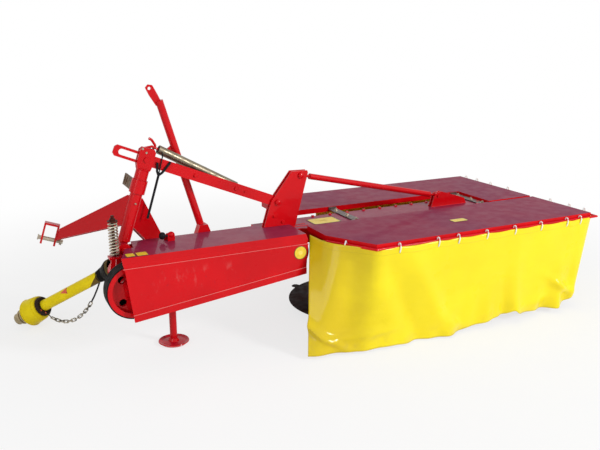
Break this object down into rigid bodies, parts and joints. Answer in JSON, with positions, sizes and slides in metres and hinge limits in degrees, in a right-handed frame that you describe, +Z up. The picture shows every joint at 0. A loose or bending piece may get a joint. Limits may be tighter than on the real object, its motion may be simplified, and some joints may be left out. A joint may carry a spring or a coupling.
{
  "type": "drum mower",
  "caption": "Red two-drum rotary mower with V-belt drive, yellow curtains and hinged rear cover, parked on its stand with the drive shaft laid down.",
  "frame": {"origin": "on the ground, under the middle of the parked machine's bounding box", "axes": "+X from the hitch towards the outer drum, +Y the direction of travel (towards the tractor), +Z up"},
  "size_m": [3.1515, 1.238, 1.346],
  "materials": {
    "red_paint": "gloss",
    "zinc": "satin",
    "steel": "satin",
    "black_paint": "satin",
    "belt_rubber": "matte",
    "curtain_yellow": "gloss",
    "guard_yellow": "satin",
    "black_plastic": "satin"
  },
  "bodies": {
    "frame": {"main_beam": "red_paint", "foot_ears": "red_paint", "input_housing": "red_paint", "belt_guard": "red_paint", "v_belts": "belt_rubber", "beam_bracket": "red_paint", "cutter_tie": "red_paint", "tie_lug": "red_paint", "bevel_gearbox": "red_paint", "gear_beam": "red_paint", "tall_stay": "red_paint", "safety_spring": "zinc", "spring_rod": "zinc", "cover_straps": "zinc", "cover_front": "red_paint", "rail_front": "red_paint", "curtain_front": "curtain_yellow"},
    "drum_left_body": {"drum_left": "red_paint", "disc_left": "steel", "knives_left": "steel"},
    "drum_right_body": {"drum_right": "red_paint", "disc_right": "steel", "knives_right": "steel"},
    "skid_left_body": {"skid_left": "steel"},
    "skid_right_body": {"skid_right": "steel"},
    "input": {"big_pulley": "red_paint", "pto_inner_yoke": "steel"},
    "driven_pulley": {"small_pulley": "red_paint"},
    "stand_leg": {"stand": "red_paint"},
    "column": {"column_post": "red_paint", "column_head": "red_paint"},
    "hitch": {"hitch_sleeve": "red_paint", "hitch_arm_left": "red_paint", "hitch_arm_right": "red_paint", "clevis_left": "red_paint", "clevis_right": "red_paint", "hitch_pins": "zinc", "top_link_plate": "red_paint"},
    "lift_link": {"lift_bar": "red_paint", "relief_tube": "zinc", "relief_hook": "black_paint", "pto_support": "black_paint"},
    "pto_guard": {"pto_tube": "guard_yellow", "pto_bell": "guard_yellow", "pto_bearing": "black_plastic", "pto_boot": "black_plastic", "pto_chain": "zinc"},
    "pto_inner": {"pto_shaft": "zinc"},
    "rear_cover": {"cover_rear": "red_paint", "rail_rear": "red_paint", "curtain_rear": "curtain_yellow"}
  },
  "joints": [
    {"name": "drum_left_spin", "type": "hinge", "parent": "frame", "child": "drum_left_body", "pos_m": [0.28, 0, 0.468], "axis": [0, 0, 1], "continuous": true},
    {"name": "drum_right_spin", "type": "hinge", "parent": "frame", "child": "drum_right_body", "pos_m": [1.08, 0, 0.468], "axis": [0, 0, 1], "continuous": true},
    {"name": "skid_left_spin", "type": "hinge", "parent": "frame", "child": "skid_left_body", "pos_m": [0.28, 0, 0.052], "axis": [0, 0, 1], "continuous": true},
    {"name": "skid_right_spin", "type": "hinge", "parent": "frame", "child": "skid_right_body", "pos_m": [1.08, 0, 0.052], "axis": [0, 0, 1], "continuous": true},
    {"name": "input_spin", "type": "hinge", "parent": "frame", "child": "input", "pos_m": [-1.06, -0.222, 0.4], "axis": [0, 1, 0], "continuous": true},
    {"name": "driven_spin", "type": "hinge", "parent": "frame", "child": "driven_pulley", "pos_m": [-0.222, -0.222, 0.474], "axis": [0, 1, 0], "continuous": true},
    {"name": "stand_slide", "type": "slide", "parent": "frame", "child": "stand_leg", "axis": [0, 0, 1], "range_m": [0, 0.25]},
    {"name": "column_rock", "type": "hinge", "parent": "frame", "child": "column", "pos_m": [-1.066, -0.04, 0.56], "axis": [0, 1, 0], "range_deg": [-16, 0]},
    {"name": "hitch_swing", "type": "hinge", "parent": "column", "child": "hitch", "pos_m": [-1.04967, -0.04, 0.60937], "axis": [0.314, 0, 0.9494], "range_deg": [-6, 75]},
    {"name": "lift_swing", "type": "hinge", "parent": "frame", "child": "lift_link", "pos_m": [-0.222, -0.04, 0.706], "axis": [0, 1, 0], "range_deg": [-1.6, 0]},
    {"name": "pto_swing", "type": "hinge", "parent": "frame", "child": "pto_guard", "pos_m": [-1.06, 0.15, 0.4], "axis": [0.6109, 0, -0.7917], "range_deg": [0, 54]},
    {"name": "pto_spin", "type": "hinge", "parent": "pto_guard", "child": "pto_inner", "pos_m": [-1.06, 0.15, 0.4], "axis": [-0.6416, 0.5859, -0.4951], "continuous": true},
    {"name": "rear_cover_fold", "type": "hinge", "parent": "frame", "child": "rear_cover", "pos_m": [0, -0.122, 0.565], "axis": [-1, 0, 0], "range_deg": [0, 90]}
  ],
  "couplings": [
    {"joint": "drum_right_spin", "follows": "drum_left_spin", "ratio": -1},
    {"joint": "input_spin", "follows": "drum_left_spin", "ratio": 0.30303},
    {"joint": "driven_spin", "follows": "drum_left_spin", "ratio": 0.5},
    {"joint": "pto_spin", "follows": "drum_left_spin", "ratio": 0.30303},
    {"joint": "lift_swing", "follows": "column_rock", "ratio": 0.096}
  ]
}
